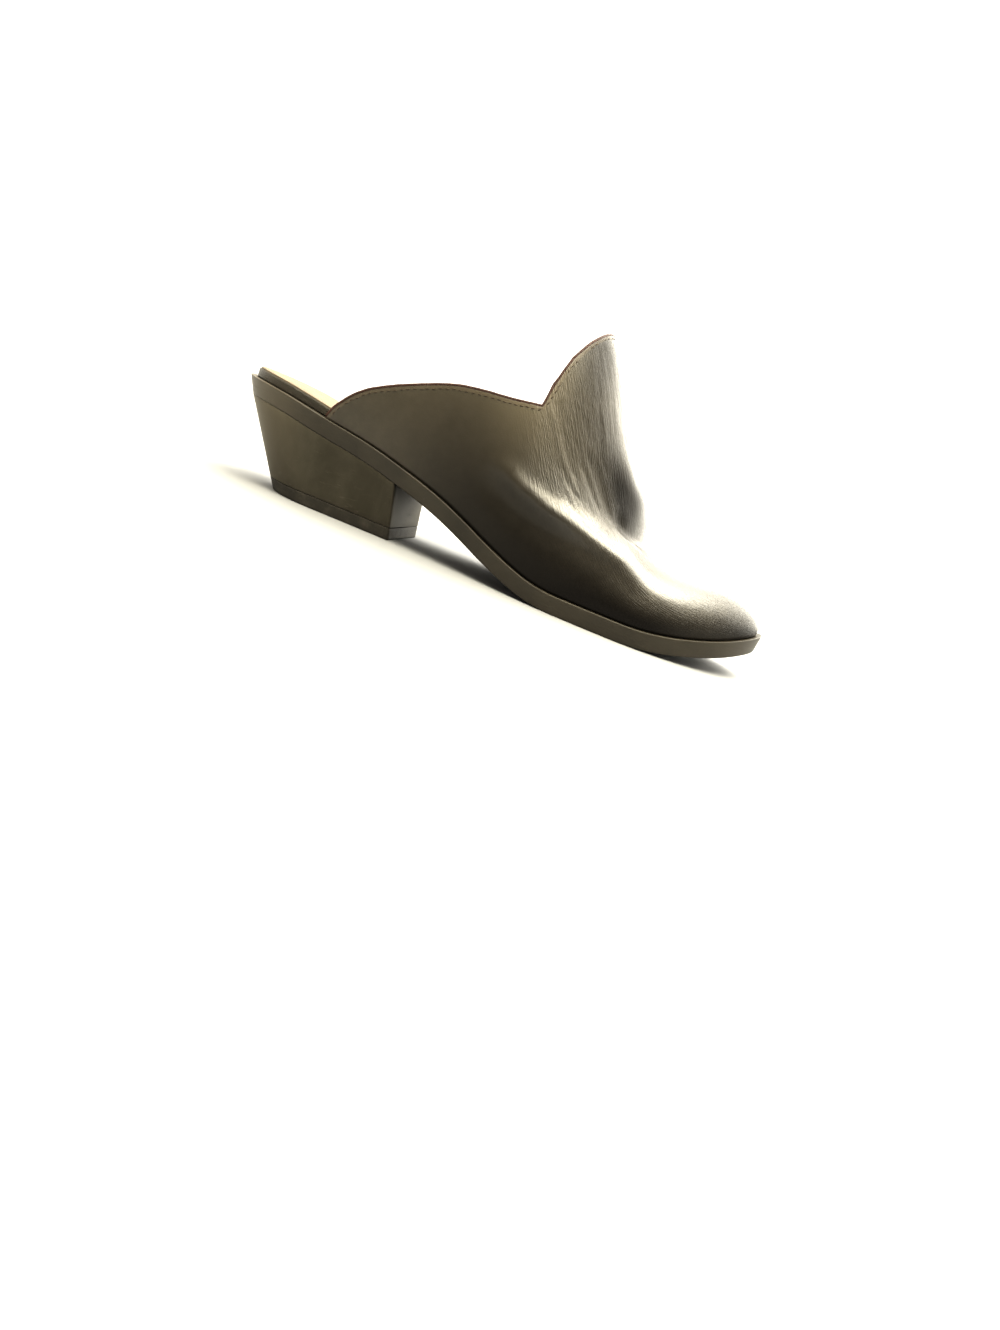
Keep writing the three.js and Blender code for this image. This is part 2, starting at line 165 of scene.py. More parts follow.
CREASES = [
    # Throat: the fold where the tongue breaks into the vamp, and the lip in front of it.
    crease(BOTH, 3.4, -1.5, (9, 0), (181, 0.51), (188, 0.52), (195, 0.64), (199, 0.84), (200, 1.0)),
    crease(BOTH, 2.6, 0.7, (8, 0), (196, 0.56), (203, 0.72), (207, 0.88), (208, 1.0)),
    # The rounded end of the instep above the throat.
    crease(BOTH, 7.0, 1.1, (14, 0), (172, 0.70), (182, 0.72), (189, 0.80), (192, 1.0)),
    # Short folds that run from the throat over the vamp.
    crease(OUTER, 1.3, -0.42, (3, 4), (190, 0.50), (195, 0.55), (201, 0.60)),
    crease(OUTER, 1.2, -0.40, (3, 4), (194, 0.58), (199, 0.66), (205, 0.71)),
    crease(OUTER, 1.1, -0.34, (3, 4), (197, 0.68), (202, 0.76), (208, 0.80)),
    crease(OUTER, 1.1, -0.30, (3, 3), (199, 0.78), (204, 0.86), (209, 0.90)),
    crease(INNER, 1.3, -0.40, (3, 4), (191, 0.52), (197, 0.57), (203, 0.60)),
    crease(INNER, 1.2, -0.36, (3, 4), (195, 0.62), (201, 0.70), (207, 0.75)),
    # From the notch down the quarter.
    crease(BOTH, 1.1, 0.22, (3, 9), (140, 0.400), (146, 0.375), (153, 0.350), (160, 0.335)),
    crease(BOTH, 1.6, -0.22, (3, 9), (142, 0.425), (148, 0.398), (156, 0.372), (166, 0.352)),
    # A soft hollow from the waist to the ball, under the shoulder of the vamp.
    crease(BOTH, 6.0, -0.7, (14, 20), (122, 0.11), (140, 0.12), (160, 0.16), (180, 0.21)),
    # The shoulder of the vamp, from the quarter past the throat to the toe.
    crease(BOTH, 4.6, 1.9, (18, 30),
           (122, 0.172), (132, 0.173), (141, 0.178), (149, 0.192), (155, 0.202), (162, 0.222), (168, 0.244),
           (178, 0.277), (188, 0.310), (197, 0.340), (207, 0.345), (218, 0.315), (230, 0.285)),
    # Long folds beside the instep's rounded end.
    crease(BOTH, 1.5, -0.5, (8, 5), (160, 0.455), (168, 0.458), (176, 0.450), (184, 0.437)),
    crease(BOTH, 1.3, -0.42, (8, 5), (163, 0.490), (171, 0.486), (179, 0.473), (187, 0.455)),
    crease(BOTH, 1.3, -0.36, (8, 5), (158, 0.415), (167, 0.415), (176, 0.410), (185, 0.402)),
]
CREASE_REACH = 3

# Bundles of fine wrinkles that run down the tongue and instep: start and end as (x, turn), spread in turn,
# how many wrinkles, and their depth. Each starts and ends at a random share of its bundle's length.
WRINKLE_BUNDLES = table("x0 turn0 x1 turn1 spread count depth", [
    (146, 0.70, 170, 0.60, 0.085, 8, 0.20),
    (153, 0.53, 174, 0.50, 0.060, 6, 0.20),
    (150, 0.36, 180, 0.35, 0.060, 7, 0.17),
    (150, 0.86, 178, 0.80, 0.070, 5, 0.13),
])
WRINKLE_WIDTH, WRINKLE_FADE, WRINKLE_POINTS, WRINKLE_WANDER = 0.95, (6, 6), 5, 0.006
WRINKLE_START, WRINKLE_END, WRINKLE_STRENGTH = (0, 0.35), (0.7, 1.05), (0.6, 1.2)

# How strongly the fine wrinkling of the grain shows, as soft spots over (x, turn).
WRINKLE_SPOTS = table("x turn reach_x reach_turn strength", [
    (158, 0.60, 22, 0.26, 0.95),
    (176, 0.42, 18, 0.14, 1.00),
    (150, 0.34, 14, 0.12, 0.70),
    (203, 0.70, 9, 0.25, 0.90),
    (240, 0.45, 24, 0.40, 0.45),
    (215, 0.25, 26, 0.18, 0.30),
])

# Painted shade: darker and duller low on the vamp, at the throat and toe, and over the tongue.
PAINTED_SHADE_SPOTS = table("x turn reach_x reach_turn strength", [
    (165, 0.02, 50, 0.22, 0.85),
    (215, 0.00, 34, 0.20, 0.70),
    (110, 0.00, 34, 0.30, 0.40),
    (180, 0.60, 12, 0.13, 0.85),
    (190, 0.80, 9, 0.26, 0.85),
    (258, 0.10, 18, 0.28, 0.60),
    (258, 0.50, 11, 0.40, 0.60),
    (151, 0.78, 13, 0.34, 0.75),
])

# Where it is polished, along the shoulder of the vamp and over the toe.
GLOSS_SPOTS = table("x turn reach_x reach_turn strength", [
    (146, 0.235, 10, 0.050, 0.60),
    (162, 0.275, 10, 0.055, 0.90),
    (178, 0.325, 10, 0.060, 1.00),
    (194, 0.385, 10, 0.070, 1.00),
    (210, 0.400, 12, 0.090, 1.00),
    (228, 0.420, 14, 0.120, 0.70),
])

# Painted light: paler on the wings and below the notch.
PAINTED_LIGHT_SPOTS = table("x turn reach_x reach_turn strength", [
    (85, 0.60, 50, 0.50, 0.75),
    (134, 0.40, 22, 0.20, 0.75),
    (115, 0.50, 18, 0.25, 0.35),
])


# ---- The last ----
def monotone(at, value):
    """Smooth curve through the points, with no overshoot between them."""
    step = np.diff(at)
    rise = np.diff(value) / step
    slope = np.empty_like(value)
    slope[0], slope[-1] = rise[0], rise[-1]
    before, after = 2 * step[1:] + step[:-1], step[1:] + 2 * step[:-1]
    turns_back = rise[:-1] * rise[1:] <= 0
    safe = np.where(turns_back, 1.0, rise[:-1]), np.where(turns_back, 1.0, rise[1:])
    slope[1:-1] = np.where(turns_back, 0.0, (before + after) / (before / safe[0] + after / safe[1]))

    def along(where):
        where = np.clip(where, at[0], at[-1])
        i = np.clip(np.searchsorted(at, where) - 1, 0, len(step) - 1)
        t = (where - at[i]) / step[i]
        start = (1 + 2 * t) * (1 - t) ** 2 * value[i] + t * (1 - t) ** 2 * slope[i] * step[i]
        end = t * t * (3 - 2 * t) * value[i + 1] + t * t * (t - 1) * slope[i + 1] * step[i]
        return start + end

    return along


def curve(rows, column, blur=CURVE_BLUR):
    """One column of a table as a function of x, eased over blur mm so that gloss runs over it evenly."""
    exact = monotone(LENGTH * rows["at"], rows[column])
    if not blur:
        return exact
    x = np.arange(LENGTH * rows["at"][0], LENGTH * rows["at"][-1] + CURVE_SPACING, CURVE_SPACING)
    reach = int(3 * blur / CURVE_SPACING)
    kernel = np.exp(-0.5 * (np.arange(-reach, reach + 1) * CURVE_SPACING / blur) ** 2)
    values = exact(x)
    head = 2 * values[0] - values[reach:0:-1]
    tail = 2 * values[-1] - values[-2:-reach - 2:-1]
    smooth = np.convolve(np.concatenate([head, values, tail]), kernel / kernel.sum(), mode="valid")
    return lambda where: np.interp(where, x, smooth)


lift, outer, inner, bend, crown, lean, fullness = (curve(LAST, name) for name in list(LAST)[1:])
valley_turn, valley_depth = curve(VALLEY, "turn"), curve(VALLEY, "depth")
wing_edge = curve(WING_EDGE, "rise", blur=0)
tongue_edge = curve(TONGUE_EDGE, "rise", blur=0)


def round_end(u, power):
    """Share of the full size left at a rounded end, where u goes from 0 at its root to 1 at its tip."""
    return (1 - np.clip(u, 0, 1) ** power) ** (1 / power)


def underside(x):
    return HEEL_RISE * np.maximum(lift(x), 0)


def seat(x):
    return underside(x) + SOLE_THICKNESS


def outline(x, side, inset):
    """y of the sole's outline, drawn in by inset."""
    half_width = BALL_WIDTH * np.where(np.asarray(side) < 0, outer(x), inner(x)) - inset
    heel = round_end((HEEL_ROUND - x) / (HEEL_ROUND - inset), HEEL_POINT)
    toe = round_end((x - LENGTH + TOE_ROUND) / (TOE_ROUND - inset), TOE_POINT)
    return bend(x) + side * half_width * heel * toe


def across(x, v, inset):
    """y across the sole: v goes from -1 at the outer edge to +1 at the inner edge."""
    low, high = outline(x, -1, inset), outline(x, 1, inset)
    return low + (high - low) * (v + 1) / 2


def last_point(x, side, turn):
    """The upper's outer face without its creases. The valley's other side is added too, so that it runs
    smoothly over the centre line."""
    theta = turn * math.pi / 2
    power = 2 / fullness(x)
    foot = outline(x, side, FEATHER_LEDGE)
    top = bend(x) + lean(x)
    dome = round_end((x - LENGTH + FEATHER_LEDGE + TOE_DOME) / TOE_DOME, DOME_POINT)
    floor = seat(x) + GAP
    height = (INSTEP_HEIGHT * crown(x) - floor) * dome
    swell = WALL_SWELL * dome * np.sin(2 * theta) * np.cos(theta)
    here, opposite = (turn - valley_turn(x)) / VALLEY_WIDTH, (2 - turn - valley_turn(x)) / VALLEY_WIDTH
    valley = valley_depth(x) * (np.exp(-(here ** 2)) + np.exp(-(opposite ** 2)))
    y = top + (foot - top) * np.cos(theta) ** power + side * (swell - valley * np.cos(theta))
    z = floor + height * np.sin(theta) ** power - valley * np.sin(theta)
    return np.stack(np.broadcast_arrays(x, y, z), axis=-1)


def edge_turn(x, drop=0.0):
    """The turn at which the top edge, lowered by drop mm, crosses a section."""
    forward = np.where(x > NOTCH, EDGE_DROP_FORWARD * drop, 0.0)
    rise = np.where(x < NOTCH, wing_edge(x), tongue_edge(x - forward))
    floor = seat(x) + GAP
    share = (INSTEP_HEIGHT * rise - drop - floor) / (INSTEP_HEIGHT * crown(x) - floor)
    turn = np.arcsin(np.clip(share, 0, 1) ** (fullness(x) / 2)) * 2 / math.pi
    return np.where(x >= PEAK + drop, 1.0, turn)


def tongue_station(turn, drop=0.0):
    """x at which the tongue's top edge crosses the row at this turn, and NOTCH for rows below the notch."""
    behind, ahead = np.full_like(turn, NOTCH), np.full_like(turn, PEAK + drop)
    halvings = 40
    for _ in range(halvings):
        middle = (behind + ahead) / 2
        below = edge_turn(middle, drop) < turn
        behind, ahead = np.where(below, middle, behind), np.where(below, ahead, middle)
    return np.where(turn > edge_turn(np.array(NOTCH), drop), ahead, NOTCH)


# ---- Meshes ----
MM_PER_METRE = 1000
SIDE_SHIFT = MM_PER_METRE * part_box("outsole")[0].y - outline(np.linspace(0, LENGTH, 2001), -1, 0).min()
FRAME_SHIFT = np.array([-LENGTH / 2, SIDE_SHIFT, 0.0])


def to_frame(points):
    return (np.asarray(points) + FRAME_SHIFT) / MM_PER_METRE


class Sheet:
    """Points, quads that share them and, for the upper, the (x, side, turn) of each point."""

    def __init__(self, points, faces, places=None):
        self.points = points
        self.faces = faces
        self.places = places

    def clean_faces(self):
        """The faces as lists, with a triangle's repeated corner left out."""
        return [face if face[0] != face[3] else face[:3] for face in self.faces.tolist()]

    def normals(self):
        corners = self.points[self.faces]
        crossed = np.cross(corners[:, 2] - corners[:, 0], corners[:, 3] - corners[:, 1])
        total = np.zeros_like(self.points)
        for k in range(4):
            np.add.at(total, self.faces[:, k], crossed)
        return total / np.maximum(np.linalg.norm(total, axis=1, keepdims=True), 1e-12)

    def free_edges(self):
        """Directed edges that only one face has."""
        start = self.faces.ravel()
        end = np.roll(self.faces, -1, axis=1).ravel()
        real = start != end
        start, end = start[real], end[real]
        size = len(self.points)
        lonely = ~np.isin(start * size + end, end * size + start)
        return np.stack([start[lonely], end[lonely]], axis=1)


def weld(points, faces, places=None):
    """Sheet whose equal points are one. Faces that shrink to a line are dropped, and a triangle's last
    corner is its first one again."""
    keys = np.round(points / WELD_DISTANCE + WELD_PHASE).astype(np.int64)
    _, first, index = np.unique(keys, axis=0, return_index=True, return_inverse=True)
    faces = index.reshape(-1)[faces]
    kept = []
    for face in faces:
        corners = [c for k, c in enumerate(face) if c != face[k - 1]]
        if len(set(corners)) == len(corners) and len(corners) > 2:
            kept.append(corners if len(corners) == 4 else corners + corners[:1])
    return Sheet(points[first], np.array(kept), None if places is None else places[first])


def grid_faces(rows, columns, offset=0, wrap=False):
    """Quads of a grid of points numbered row by row. wrap joins the last column to the first."""
    i = np.arange(rows - 1)[:, None] * columns
    j = np.arange(columns if wrap else columns - 1)[None, :]
    right = (j + 1) % columns
    quads = np.stack([i + j, i + columns + j, i + columns + right, i + right], axis=-1)
    return quads.reshape(-1, 4) + offset


def make_object(name, body, material, node=None, attributes=None):
    """Mesh object in the CAD frame, riding on the root body."""
    mesh = bpy.data.meshes.new(name)
    mesh.from_pydata(to_frame(body.points).tolist(), [], body.clean_faces())
    mesh.validate()
    mesh.shade_smooth()
    for key, values in (attributes or {}).items():
        kind = "FLOAT_VECTOR" if values.ndim == 2 else "FLOAT"
        layer = mesh.attributes.new(key, kind, "POINT")
        field = "vector" if values.ndim == 2 else "value"
        layer.data.foreach_set(field, values.astype(np.float32).ravel())
    mesh.materials.append(material)
    piece = bpy.data.objects.new(name, mesh)
    bpy.context.scene.collection.objects.link(piece)
    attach(piece, "root")
    if node:
        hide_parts(node)


def bunched(count):
    """Values from 0 to 1 that lie closer together towards 0."""
    return (np.arange(count + 1) / count) ** EDGE_CROWDING


def wing_stations(count):
    """x from the wing's tail to the notch, closer together towards the tail."""
    return NOTCH + (WING_START - NOTCH) * np.sin(np.linspace(1, 0, count) * math.pi / 2)


def upper_sheet(drop, detail):
    """The upper's outer face as one sheet: on each side the wing, up to the notch, and the vamp with half
    the tongue. Rows crowd towards the top edge. detail scales the number of rows."""
    notch_turn = edge_turn(np.array(NOTCH), drop)
    low_rows = 1 - bunched(int(LOW_ROWS * detail))[::-1]
    high_rows = np.linspace(0, 1, int(HIGH_ROWS * detail) + 1)
    wing_x = wing_stations(int(WING_STATIONS * detail) + 1)
    tip = LENGTH - FEATHER_LEDGE
    vamp_turn = np.concatenate([notch_turn * low_rows, notch_turn + (1 - notch_turn) * high_rows[1:]])
    vamp_share = bunched(int(VAMP_STATIONS * detail))[:-1]
    toe_x = np.concatenate([
        np.linspace(VAMP_FRONT, tip - TOE_DOME, int(TOE_STATIONS * detail) + 1)[:-1],
        tip - TOE_DOME + TOE_DOME * np.sin(np.linspace(0, 1, int(DOME_STATIONS * detail) + 1) * math.pi / 2),
    ])
    wing = (wing_x[:, None] + 0 * low_rows, edge_turn(wing_x, drop)[:, None] * low_rows)
    start = tongue_station(vamp_turn, drop)
    vamp = (start + (VAMP_FRONT - start) * vamp_share[:, None], vamp_turn + 0 * vamp_share[:, None])
    toe = (toe_x[:, None] + 0 * vamp_turn, vamp_turn + 0 * toe_x[:, None])
    front = tuple(np.concatenate([a, b]) for a, b in zip(vamp, toe))
    points, faces, places, offset = [], [], [], 0
    for side in BOTH:
        for x, turn in (wing, front):
            points.append(last_point(x, side, turn).reshape(-1, 3))
            places.append(np.stack([x.ravel(), np.full(x.size, float(side)), turn.ravel()], axis=1))
            quads = grid_faces(*x.shape, offset)
            faces.append(quads if side < 0 else quads[:, ::-1])
            offset += x.size
    return weld(np.concatenate(points), np.concatenate(faces), np.concatenate(places))


def distance_to(line, points, reach=None):
    """Distance from each point to a line of closely spaced points, and how far along it that is, 0 to 1.
    Points beyond reach may be left at infinity."""
    most_gaps = 4_000_000
    distance = np.full(len(points), np.inf)
    share = np.zeros(len(points))
    near = np.arange(len(points))
    if reach:
        inside = (points > line.min(0) - reach) & (points < line.max(0) + reach)
        near = np.flatnonzero(inside.all(1))
    for part in np.array_split(near, max(1, len(near) * len(line) // most_gaps)):
        if len(part):
            gaps = np.linalg.norm(points[part][:, None] - line[None], axis=2)
            closest = gaps.argmin(1)
            distance[part] = gaps[np.arange(len(part)), closest]
            share[part] = closest / (len(line) - 1)
    return distance, share


def route_line(route, side):
    """A crease's route over the last, as closely spaced points."""
    points_a_node = 40
    at = np.arange(len(route), dtype=float)
    fine = np.linspace(0, at[-1], points_a_node * len(route))
    return last_point(monotone(at, route[:, 0])(fine), side, monotone(at, route[:, 1])(fine))


def wrinkle_routes():
    """The wrinkle bundles as creases of their own, each with a little wander."""
    for x0, turn0, x1, turn1, spread, count, depth in zip(*WRINKLE_BUNDLES.values()):
        for lane in np.linspace(-1, 1, int(count)):
            start, end = RNG.uniform(*WRINKLE_START), RNG.uniform(*WRINKLE_END)
            share = np.linspace(start, end, WRINKLE_POINTS)
            wander = RNG.normal(0, WRINKLE_WANDER, WRINKLE_POINTS)
            turn = turn0 + (turn1 - turn0) * share + spread * lane + wander
            route = np.stack([x0 + (x1 - x0) * share, np.clip(turn, 0, 1)], axis=1)
            strength = depth * RNG.uniform(*WRINKLE_STRENGTH)
            yield crease(BOTH, WRINKLE_WIDTH, -strength, WRINKLE_FADE, *route)


ALL_CREASES = CREASES + list(wrinkle_routes())


def eased(share):
    """share held to 0..1 and eased at both ends."""
    share = np.clip(share, 0, 1)
    return share * share * (3 - 2 * share)


def crease_relief(points):
    """How far the creases push each point out, in mm."""
    relief = np.zeros(len(points))
    for fold in ALL_CREASES:
        profile = np.zeros(len(points))
        for side in fold["sides"]:
            line = route_line(fold["route"], side)
            length = np.linalg.norm(np.diff(line, axis=0), axis=1).sum()
            distance, share = distance_to(line, points, reach=CREASE_REACH * fold["width"])
            rise, fall = fold["fade"]
            taper = np.clip(share * length / rise, 0, 1) if rise else 1.0
            taper = taper * (np.clip((1 - share) * length / fall, 0, 1) if fall else 1.0)
            profile = np.maximum(profile, eased(taper) * np.exp(-((distance / fold["width"]) ** 2)))
        relief += fold["depth"] * profile
    return relief


def edge_line():
    """The top edge, from the outer wing's tail over the peak to the inner wing's tail."""
    count = 220
    wing_x = wing_stations(count)
    wing_turn = edge_turn(wing_x)
    tongue_turn = np.linspace(wing_turn[-1], 1, count)[1:]
    x = np.concatenate([wing_x, tongue_station(tongue_turn)])
    turn = np.concatenate([wing_turn, tongue_turn])
    return np.concatenate([last_point(x, -1, turn), last_point(x, 1, turn)[-2::-1]])


def shape_upper(sheet):
    """Adds the creases, the curl at the sole and the rolled top edge to a sheet. Returns the distance of
    each point from the top edge."""
    normals = sheet.normals()
    edge_distance, _ = distance_to(edge_line(), sheet.points)
    foot_height = np.maximum(sheet.points[:, 2] - seat(sheet.points[:, 0]) - GAP, 0)
    curl = FOOT_CURL * np.clip(1 - foot_height / FOOT_CURL_HEIGHT, 0, 1) ** 2
    roll = EDGE_ROLL * np.clip(1 - edge_distance / EDGE_ROLL_WIDTH, 0, 1) ** 2
    from_edge = np.clip((edge_distance - CALM_MARGIN) / CALM_WIDTH, 0, 1)
    from_sole = np.clip(foot_height / CALM_WIDTH, 0, 1)
    push = crease_relief(sheet.points) * (from_edge * from_sole) - curl - roll
    sheet.points = sheet.points + normals * push[:, None]
    return edge_distance


def thicken(sheet, depth, wall, floor):
    """Closed body of the given wall, whose outer face lies depth inside the sheet and at least floor over
    the sole. Also returns, for each of its points, the sheet's point that it comes from."""
    normals = sheet.normals()
    count = len(sheet.points)
    wall = np.broadcast_to(wall, (count,))[:, None]
    outside = sheet.points - normals * depth
    inside = sheet.points - normals * (depth + wall)
    for layer in (outside, inside):
        layer[:, 2] = np.maximum(layer[:, 2], seat(layer[:, 0]) + floor)
    edges = sheet.free_edges()
    rim = np.stack([edges[:, 1], edges[:, 0], edges[:, 0] + count, edges[:, 1] + count], axis=1)
    faces = np.concatenate([sheet.faces, sheet.faces[:, ::-1] + count, rim])
    return Sheet(np.concatenate([outside, inside]), faces), np.tile(np.arange(count), 2)


def ring_body(place, loop, profile):
    """Closed body of rings round a loop of (u, v). A profile row is (shrink, inset, level): shrink 0 draws
    the ring to its middle. place(u, v, inset, level) gives the points."""
    u, v = loop
    rings = [place(0.5 + (u - 0.5) * k, v * k, inset, level) for k, inset, level in profile]
    return weld(np.concatenate(rings), grid_faces(len(rings), len(u), wrap=True)[:, ::-1])


def rounded_profile(radius_top, radius_bottom, thickness, rings=22):
    """Profile of a slab: the top from its middle outwards, rounded edges, and the bottom back inwards."""
    steps, side_steps, crowding = 5, 8, 0.8
    turns = [(1 - math.sin(a), 1 - math.cos(a)) for a in np.linspace(0, math.pi / 2, steps)]
    cover = [(k, radius_top, 1.0) for k in np.linspace(0, 1, rings)[:-1] ** crowding]
    top = [(1, radius_top * out, 1 - radius_top * down / thickness) for out, down in turns]
    side = [(1, 0.0, level) for level in np.linspace(top[-1][2], radius_bottom / thickness, side_steps)[1:-1]]
    bottom = [(1, radius_bottom * down, radius_bottom * out / thickness) for out, down in turns]
    base = [(k, radius_bottom, 0.0) for k in np.linspace(1, 0, rings)[1:] ** crowding]
    return cover + top + side + bottom + base


def side_loop(count):
    """Loop over the outer side from toe to heel and back along the inner side, closer set at both ends."""
    u = (1 - np.cos(np.linspace(0, math.pi, count))) / 2
    return np.concatenate([u[::-1], u[1:-1]]), np.concatenate([-np.ones(count), np.ones(count - 2)])


# ---- Materials ----
# Colours, linear. A pair is the two tones of a material's soft patches.
LEATHER = (0.030, 0.024, 0.014), (0.043, 0.035, 0.022)
# Painted light colour for the upper's paler places, and a colour of real dust.
LEATHER_PAINTED_LIGHT, LEATHER_DUST = (0.150, 0.128, 0.086), (0.15, 0.13, 0.095)
# Painted shade colour for the upper's darkest places.
LEATHER_PAINTED_SHADE = (0.009, 0.007, 0.005)
EDGE_TAN, EDGE_RED = (0.20, 0.155, 0.10), (0.050, 0.016, 0.008)
LINING = (0.030, 0.025, 0.020), (0.050, 0.043, 0.034)
BINDING = (0.050, 0.018, 0.010), (0.080, 0.034, 0.020)
THREAD = (0.050, 0.034, 0.022), (0.110, 0.085, 0.055)
BOARD = (0.046, 0.040, 0.028), (0.074, 0.064, 0.046)
SOCK = (0.200, 0.165, 0.120), (0.255, 0.213, 0.157)
SOLE, SOLE_NICK = ((0.034, 0.029, 0.020), (0.054, 0.046, 0.032)), (0.13, 0.115, 0.085)
HEEL = (0.056, 0.050, 0.037), (0.080, 0.073, 0.056)
HEEL_SCUFF, HEEL_SCRATCH, HEEL_SHEEN = (0.17, 0.155, 0.125), (0.20, 0.185, 0.15), (1.0, 0.94, 0.80, 1.0)
RUBBER = (0.040, 0.035, 0.026), (0.080, 0.071, 0.054)
# Painted light at the back of the heel and the sole's edge.
BACK_PAINTED_LIGHT = (0.200, 0.176, 0.132)
FLOOR = (0.29, 0.295, 0.305), (0.31, 0.315, 0.325)

# Where the painted light at the back is full and where it ends, as x in metres, and how high scuffs reach up
# the heel.
BACK_LIGHT_REACH = (-0.130, -0.080)
SCUFF_REACH = (0.004, 0.030)


class Graph:
    """A material's node tree, with short ways to add and join nodes."""

    def __init__(self, name):
        self.material = bpy.data.materials.new(name)
        self.material.use_nodes = True
        self.tree = self.material.node_tree
        self.shader = self.tree.nodes["Principled BSDF"]
        self.place = self.add("ShaderNodeTexCoord").outputs["Object"]

    def set(self, socket, value):
        """Joins a node's output to a socket, or gives the socket a plain value."""
        if isinstance(value, bpy.types.NodeSocket):
            self.tree.links.new(value, socket)
        else:
            socket.default_value = value

    def add(self, kind, inputs=None, **settings):
        node = self.tree.nodes.new(kind)
        for key, value in settings.items():
            setattr(node, key, value)
        for key, value in (inputs or {}).items():
            self.set(node.inputs[key], value)
        return node

    def times(self, a, b):
        return self.add("ShaderNodeMath", {0: a, 1: b}, operation="MULTIPLY").outputs[0]

    def plus(self, base, a, factor=1.0):
        """base + a * factor"""
        return self.add("ShaderNodeMath", {0: a, 1: factor, 2: base}, operation="MULTIPLY_ADD").outputs[0]

    def attribute(self, name, output="Fac"):
        return self.add("ShaderNodeAttribute", attribute_name=name).outputs[output]

    def along(self, axis):
        return self.add("ShaderNodeSeparateXYZ", {0: self.place}).outputs[axis]

    def noise(self, scale, detail=3.0, roughness=0.55, distortion=0.0, vector=None, stretch=None):
        vector = vector or self.place
        if stretch:
            vector = self.add("ShaderNodeMapping", {"Vector": vector, "Scale": stretch}).outputs["Vector"]
        inputs = {"Vector": vector, "Scale": scale, "Detail": detail, "Roughness": roughness,
                  "Distortion": distortion}
        return self.add("ShaderNodeTexNoise", inputs).outputs["Fac"]

    def grain(self, scale, full):
        """Rounded cells parted by fine grooves, at full height from a distance of full."""
        inputs = {"Vector": self.place, "Scale": scale}
        cells = self.add("ShaderNodeTexVoronoi", inputs, feature="DISTANCE_TO_EDGE")
        return self.ramp(cells.outputs["Distance"], 0.0, full)

    def ramp(self, factor, start, end, low=0.0, high=1.0):
        """factor carried from start..end to low..high, eased."""
        node = self.add("ShaderNodeMapRange", {"Value": factor, "From Min": start, "From Max": end,
                                               "To Min": low, "To Max": high})
        node.interpolation_type = "SMOOTHSTEP"
        return node.outputs["Result"]

    def blend(self, factor, a, b):
        """From a at factor 0 to b at factor 1. A tuple is a plain colour."""
        a, b = ((*c, 1.0) if isinstance(c, tuple) else c for c in (a, b))
        return self.add("ShaderNodeMix", {0: factor, 6: a, 7: b}, data_type="RGBA").outputs[2]

    def patched(self, patches, tones):
        return self.blend(self.ramp(patches, 0.3, 0.7), *tones)

    def painted_back_light(self, color, amount):
        """color with painted light at the back of the shoe, fading out towards the arch."""
        return self.blend(self.ramp(self.along("X"), *BACK_LIGHT_REACH, amount, 0.0), color, BACK_PAINTED_LIGHT)

    def finish(self, color, roughness, height=None, bump=0.0, strength=1.0, **sockets):
        """Sets the shader. bump is what a height of 1 stands for, in metres."""
        self.set(self.shader.inputs["Base Color"], color)
        self.set(self.shader.inputs["Roughness"], roughness)
        if height is not None:
            inputs = {"Height": height, "Distance": bump, "Strength": strength}
            self.set(self.shader.inputs["Normal"], self.add("ShaderNodeBump", inputs).outputs["Normal"])
        for key, value in sockets.items():
            self.set(self.shader.inputs[key.replace("_", " ")], value)
        return self.material


def upper_leather():
    """Satin dark olive-brown leather: fine grain, wrinkles that follow the foot, polished places, painted
    shade and painted light in places, and a dark red line with a faint tan band along its top edge."""
    g = Graph("upper_leather")
    lay = g.attribute("lay", "Vector")
    painted_shade, gloss, edge = g.attribute("painted_shade"), g.attribute("gloss"), g.attribute("edge_distance")
    grain = g.grain(1350.0, full=0.35)
    pores = g.noise(3200.0, detail=2.0)
    lines = g.noise(1.0, distortion=0.3, vector=lay, stretch=(0.14, 1.0, 1.0))
    fine_lines = g.noise(1.0, detail=2.0, distortion=0.3, vector=lay, stretch=(0.40, 2.3, 1.0))
    crumple = g.noise(420.0, detail=4.0, roughness=0.6, distortion=0.2)
    height = g.times(g.plus(g.times(lines, 2.2), fine_lines, 1.1), g.attribute("wrinkle"))
    for relief, amount in ((crumple, 0.11), (grain, 0.035), (pores, 0.015)):
        height = g.plus(height, relief, amount)
    patches = g.noise(38.0, detail=4.0, roughness=0.6, distortion=0.4)
    dusty = g.ramp(g.noise(210.0, detail=5.0, roughness=0.7), 0.35, 0.75)
    color = g.patched(patches, LEATHER)
    # Painted light: paler on the wings and below the notch.
    color = g.blend(g.attribute("painted_light"), color, LEATHER_PAINTED_LIGHT)
    color = g.blend(g.times(dusty, 0.10), color, LEATHER_DUST)
    # Painted shade: darker low on the vamp, at the throat and toe, and over the tongue.
    color = g.blend(painted_shade, color, LEATHER_PAINTED_SHADE)
    band = g.times(g.ramp(edge, 0.7, 1.1), g.ramp(edge, 1.7, 2.6, 1.0, 0.0))
    color = g.blend(g.times(band, 0.22), color, EDGE_TAN)
    color = g.blend(g.ramp(edge, 0.35, 0.95, 0.9, 0.0), color, EDGE_RED)
    roughness = g.plus(0.26, patches, 0.10)
    for source, amount in ((dusty, 0.07), (gloss, -0.05)):
        roughness = g.plus(roughness, source, amount)
    # Where shade is painted the leather is also less shiny.
    polish = g.plus(g.plus(1.0, painted_shade, -0.75), gloss)
    return g.finish(color, roughness, height, bump=0.00030, strength=0.9, Coat_Roughness=0.20,
                    Specular_IOR_Level=g.times(polish, 0.70), Coat_Weight=g.times(polish, 0.40))


